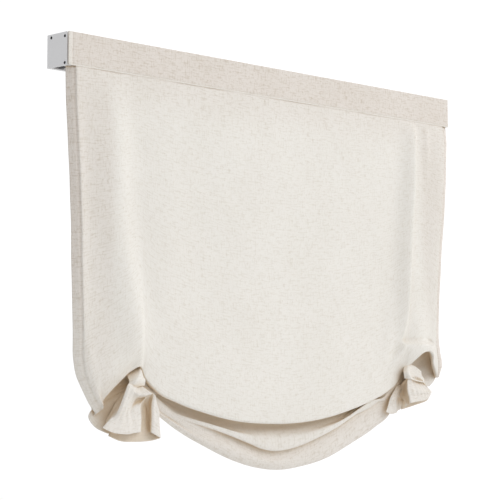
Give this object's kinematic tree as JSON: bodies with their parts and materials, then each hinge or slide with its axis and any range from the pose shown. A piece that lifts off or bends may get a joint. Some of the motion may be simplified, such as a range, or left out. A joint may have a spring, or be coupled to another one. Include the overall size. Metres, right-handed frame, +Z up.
{
  "type": "roman blind",
  "caption": "Relaxed linen roman blind on a box headrail, with a draped swag, gathered side tails, lift cords through rings and a motor drive inside the rail.",
  "frame": {"origin": "centre of the four wall screws' pattern in the two mounting brackets, on the wall's face", "axes": "+X along the rail to the right as seen from the room, +Y into the wall, +Z up"},
  "size_m": [1, 0.0864, 0.7439],
  "materials": {
    "rail_paint": "satin powder coat",
    "cap_plastic": "fine matt moulding",
    "black_screw": "black oxide",
    "zinc_steel": "bright zinc plate",
    "hook_nylon": "hook tape",
    "loop_nylon": "loop tape",
    "linen": "slubby plain weave",
    "lining_cotton": "plain sateen lining",
    "motor_case": "satin",
    "white_nylon": "moulded",
    "grey_nylon": "moulded",
    "shaft_steel": "drawn",
    "lift_cord": "braided polyester",
    "clear_ring": "polished",
    "stop_plastic": "moulded"
  },
  "bodies": {
    "rail": {"headrail": "rail_paint", "end_cap_left": "cap_plastic", "end_cap_right": "cap_plastic", "end_cap_screws_left": "black_screw", "end_cap_screws_right": "black_screw", "mounting_bracket_left": "zinc_steel", "mounting_bracket_right": "zinc_steel", "hook_strip": "hook_nylon", "loop_strip": "loop_nylon", "heading_band": "linen", "face_fabric": "linen", "lining": "lining_cotton", "drive_motor": "motor_case", "motor_clip_left": "white_nylon", "motor_clip_right": "white_nylon", "spool_cradle_left": "white_nylon", "spool_cradle_right": "white_nylon", "bearing_plate_left": "white_nylon", "bearing_plate_right": "white_nylon", "lift_cord_left": "lift_cord", "lift_cord_right": "lift_cord"},
    "drive": {"drive_shaft": "shaft_steel", "drive_sleeve": "grey_nylon", "spool_left": "grey_nylon", "spool_right": "grey_nylon", "shaft_bush_left": "grey_nylon", "shaft_bush_right": "grey_nylon"},
    "tied_rings": {"gather_rings_left": "clear_ring", "gather_rings_right": "clear_ring", "cord_stop_left": "stop_plastic", "cord_stop_right": "stop_plastic"},
    "upper_rings": {"ring_row_upper": "clear_ring"},
    "middle_rings": {"ring_row_middle": "clear_ring"},
    "lower_rings": {"ring_row_lower": "clear_ring"}
  },
  "joints": [
    {"name": "lift", "type": "slide", "parent": "rail", "child": "tied_rings", "axis": [0, 0, 1], "range_m": [0, 0.4], "deforming": ["face_fabric", "lining", "lift_cord_left", "lift_cord_right"]},
    {"name": "shaft_spin", "type": "hinge", "parent": "rail", "child": "drive", "pos_m": [0, -0.032, -0.0065], "axis": [-1, 0, 0], "range_deg": [0, 2104]},
    {"name": "upper_rings_rise", "type": "slide", "parent": "rail", "child": "upper_rings", "axis": [0, 0, 1], "range_m": [0, 0.101]},
    {"name": "middle_rings_rise", "type": "slide", "parent": "rail", "child": "middle_rings", "axis": [0, 0, 1], "range_m": [0, 0.201]},
    {"name": "lower_rings_rise", "type": "slide", "parent": "rail", "child": "lower_rings", "axis": [0, 0, 1], "range_m": [0, 0.301]}
  ],
  "couplings": [
    {"joint": "shaft_spin", "follows": "lift", "rad_per_m": 91.743},
    {"joint": "upper_rings_rise", "follows": "lift", "ratio": 0.25},
    {"joint": "middle_rings_rise", "follows": "lift", "ratio": 0.5},
    {"joint": "lower_rings_rise", "follows": "lift", "ratio": 0.75}
  ]
}
